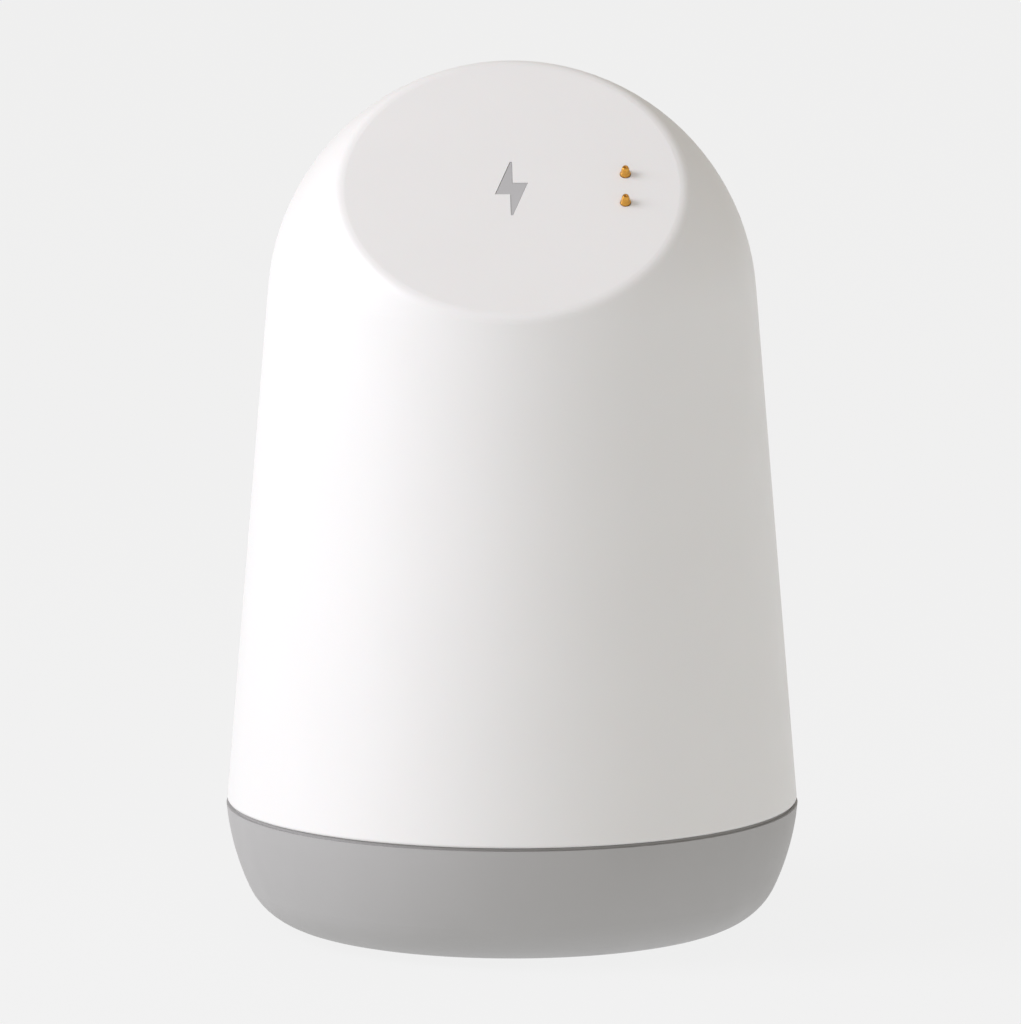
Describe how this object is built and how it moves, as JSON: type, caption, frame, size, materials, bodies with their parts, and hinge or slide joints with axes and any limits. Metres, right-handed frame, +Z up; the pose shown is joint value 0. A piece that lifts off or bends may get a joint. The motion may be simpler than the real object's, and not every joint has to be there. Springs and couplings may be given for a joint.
{
  "type": "charging dock",
  "caption": "Charging dock of an ear wax cleaner: white tapered shell with a tilted round docking face and sprung gold contacts, on a grey cup with a USB-C port at the back.",
  "frame": {"origin": "centre of the foot pad's underside", "axes": "+Z up; the docking face looks towards -Y and up; the USB-C port looks towards +Y"},
  "size_m": [0.0598, 0.0598, 0.0908],
  "materials": {
    "white_shell": "satin moulded",
    "grey_cup": "fine matte texture",
    "grey_inlay": "matte",
    "foot_rubber": "matte",
    "black_tape": "foam tape",
    "cast_iron": "as cast, blackened",
    "screw_steel": "zinc plated",
    "circuit_board": "solder mask",
    "socket_steel": "drawn",
    "black_plastic": "matte",
    "gold_plating": "gold plated",
    "chip_ceramic": "fired ceramic",
    "connector_nylon": "natural nylon",
    "carrier_plastic": "matte",
    "magnet_nickel": "nickel plated",
    "spring_steel": "drawn wire",
    "red_insulation": "smooth",
    "black_insulation": "smooth"
  },
  "bodies": {
    "dock": {"outer_shell": "white_shell", "charge_icon": "grey_inlay", "base_cup": "grey_cup", "foot_pad": "foot_rubber", "counterweight": "cast_iron", "weight_tape": "black_tape", "case_screws": "screw_steel", "main_board_screws": "screw_steel", "contact_board_screws": "screw_steel", "main_board": "circuit_board", "usb_socket_shell": "socket_steel", "usb_socket_insulator": "black_plastic", "usb_socket_terminals": "gold_plating", "charge_controller": "black_plastic", "power_inductor": "carrier_plastic", "surge_protector": "black_plastic", "chip_capacitors": "chip_ceramic", "chip_resistors": "black_plastic", "magnet_carrier": "carrier_plastic", "magnet_upper": "magnet_nickel", "magnet_lower": "magnet_nickel", "contact_board": "circuit_board", "pin_block": "black_plastic", "pin_barrel_upper": "gold_plating", "pin_barrel_lower": "gold_plating", "pin_spring_upper": "spring_steel", "pin_spring_lower": "spring_steel", "lower_header": "connector_nylon", "lower_header_posts": "gold_plating", "lower_plug": "connector_nylon", "upper_header": "connector_nylon", "upper_header_posts": "gold_plating", "upper_plug": "connector_nylon", "supply_wire": "red_insulation", "ground_wire": "black_insulation"},
    "plunger_upper": {"pin_plunger_upper": "gold_plating"},
    "plunger_lower": {"pin_plunger_lower": "gold_plating"}
  },
  "joints": [
    {"name": "contact_pin_upper_press", "type": "slide", "parent": "dock", "child": "plunger_upper", "axis": [0, 0.6334, -0.7738], "range_m": [0, 0.0008], "stiffness_N_per_m": 400, "springref_m": -0.0008, "deforming": ["pin_spring_upper"]},
    {"name": "contact_pin_lower_press", "type": "slide", "parent": "dock", "child": "plunger_lower", "axis": [0, 0.6334, -0.7738], "range_m": [0, 0.0008], "stiffness_N_per_m": 400, "springref_m": -0.0008, "deforming": ["pin_spring_lower"]}
  ]
}
